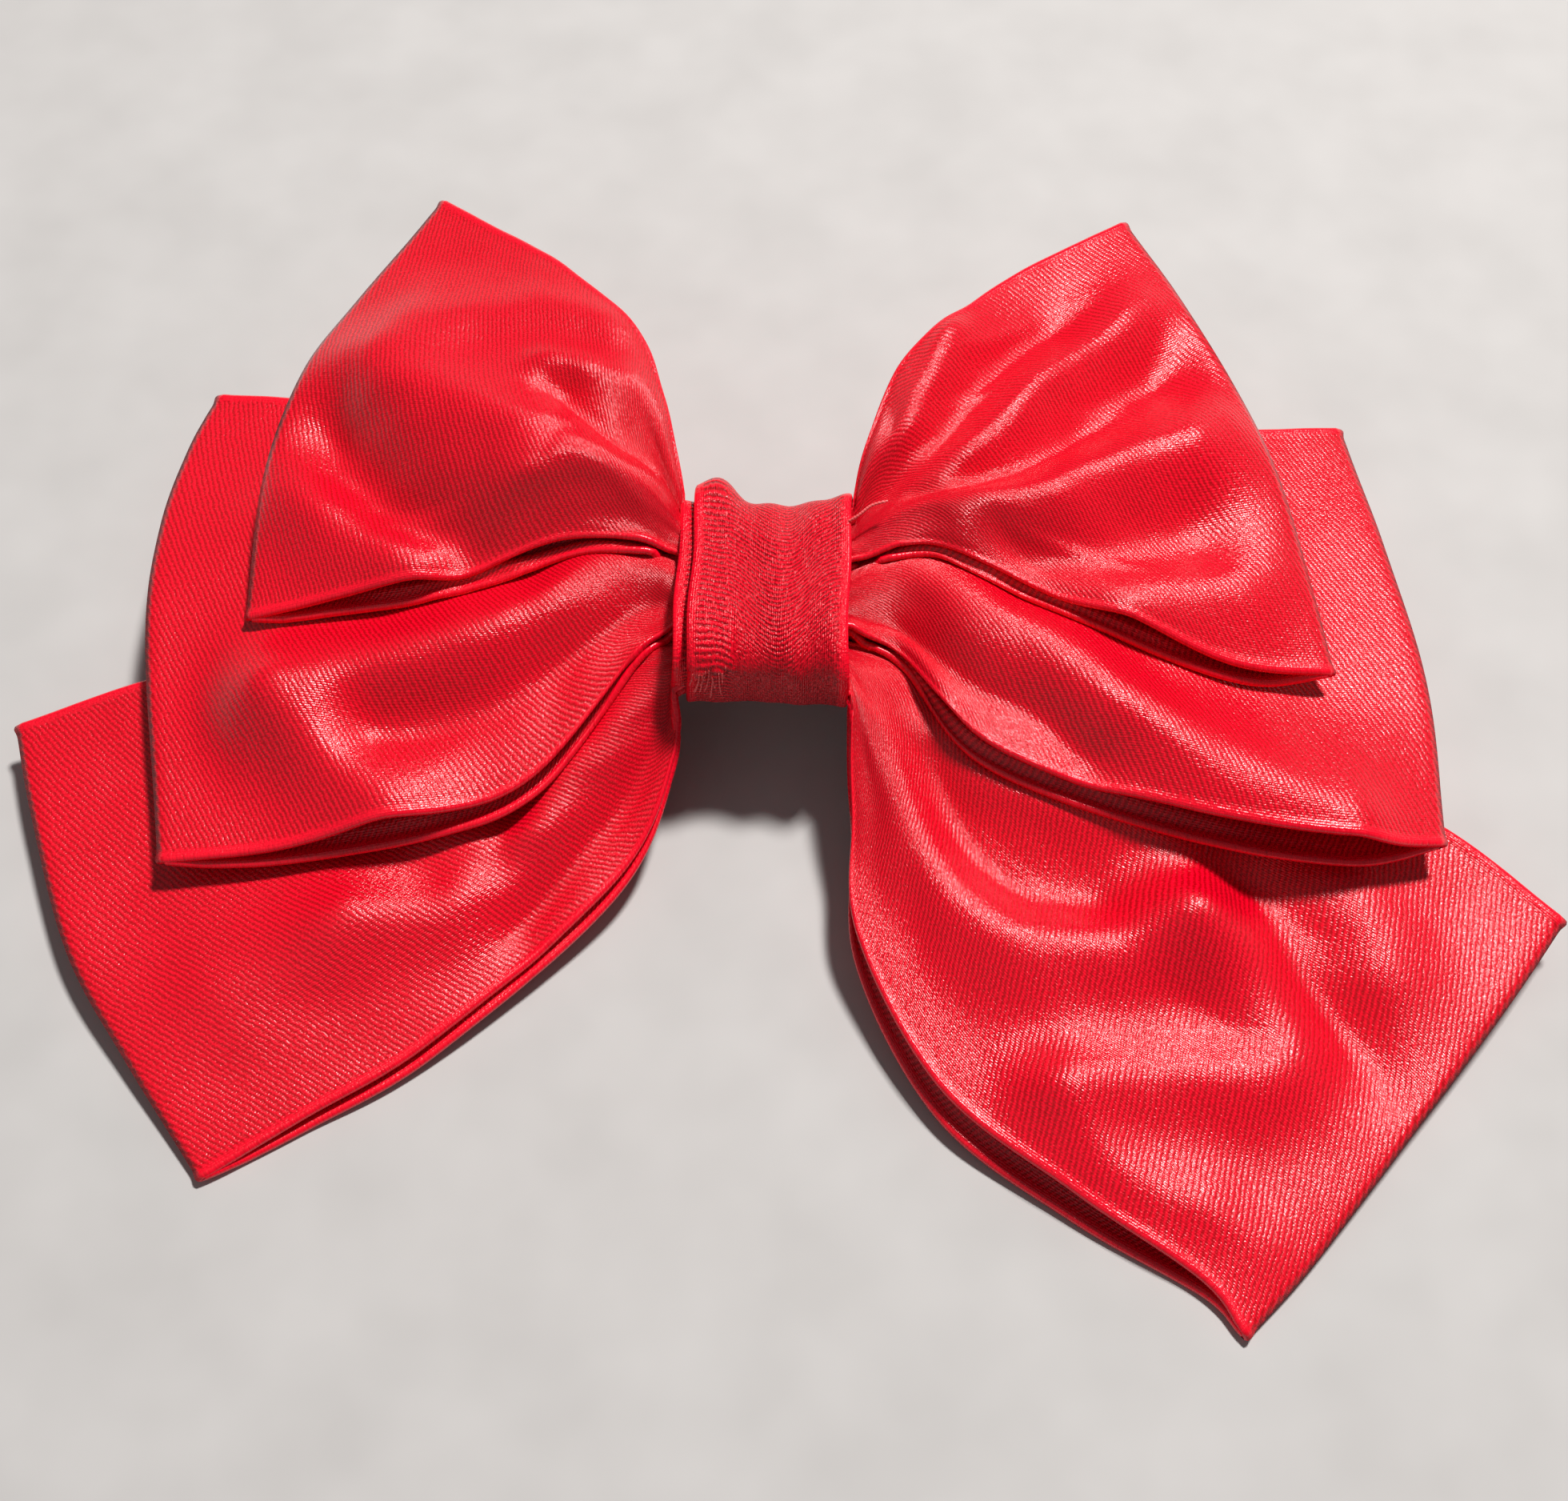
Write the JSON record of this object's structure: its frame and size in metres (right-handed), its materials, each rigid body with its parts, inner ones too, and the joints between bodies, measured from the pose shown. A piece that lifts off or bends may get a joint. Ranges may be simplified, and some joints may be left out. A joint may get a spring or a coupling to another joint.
{
  "type": "hair bow",
  "caption": "Tiered satin ribbon hair bow with flat looped wings gathered in a knot, on a hinged spring clip that closes on a lock of hair.",
  "frame": {"origin": "middle of the clip's wearing side, on the surface that the bow rests on when it lies on its back", "axes": "+Z out of the bow's face, +Y to the bow's top, +X to the right seen from the face"},
  "size_m": [0.2145, 0.1635, 0.0343],
  "materials": {
    "satin": "polyester satin, glossy on its face, with a fine diagonal weave",
    "band_satin": "the same satin folded crosswise, duller, with a visible weave",
    "thread": "dull sewing thread",
    "plated_steel": "nickel-plated, satin",
    "spring_steel": "bare spring steel"
  },
  "bodies": {
    "bow": {"upper_bow": "satin", "middle_bow": "satin", "lower_bow": "satin", "knot_band": "band_satin", "upper_gather_thread": "thread", "middle_gather_thread": "thread", "lower_gather_thread": "thread", "base_plate": "plated_steel", "hinge_pin": "plated_steel", "clasp": "spring_steel", "clasp_rivet": "plated_steel"},
    "arm": {"closing_arm": "plated_steel"},
    "spring": {"tension_spring": "spring_steel"},
    "front_tab": {"front_release_tab": "spring_steel"},
    "rear_tab": {"rear_release_tab": "spring_steel"}
  },
  "joints": [
    {"name": "arm_hinge", "type": "hinge", "parent": "bow", "child": "arm", "pos_m": [-0.036, 0, 0.0022], "axis": [0, 1, 0], "range_deg": [0, 85]},
    {"name": "spring_flex", "type": "slide", "parent": "bow", "child": "spring", "axis": [0, 0, 1], "range_m": [0, 0.0015], "stiffness_N_per_m": 600, "deforming": ["tension_spring"]},
    {"name": "front_tab_pinch", "type": "hinge", "parent": "bow", "child": "front_tab", "pos_m": [0.0366, -0.0051, 0.0106], "axis": [1, 0, 0], "range_deg": [0, 14], "stiffness_Nm_per_rad": 0.02},
    {"name": "rear_tab_pinch", "type": "hinge", "parent": "bow", "child": "rear_tab", "pos_m": [0.0366, 0.0051, 0.0106], "axis": [-1, 0, 0], "range_deg": [0, 14], "stiffness_Nm_per_rad": 0.02}
  ]
}
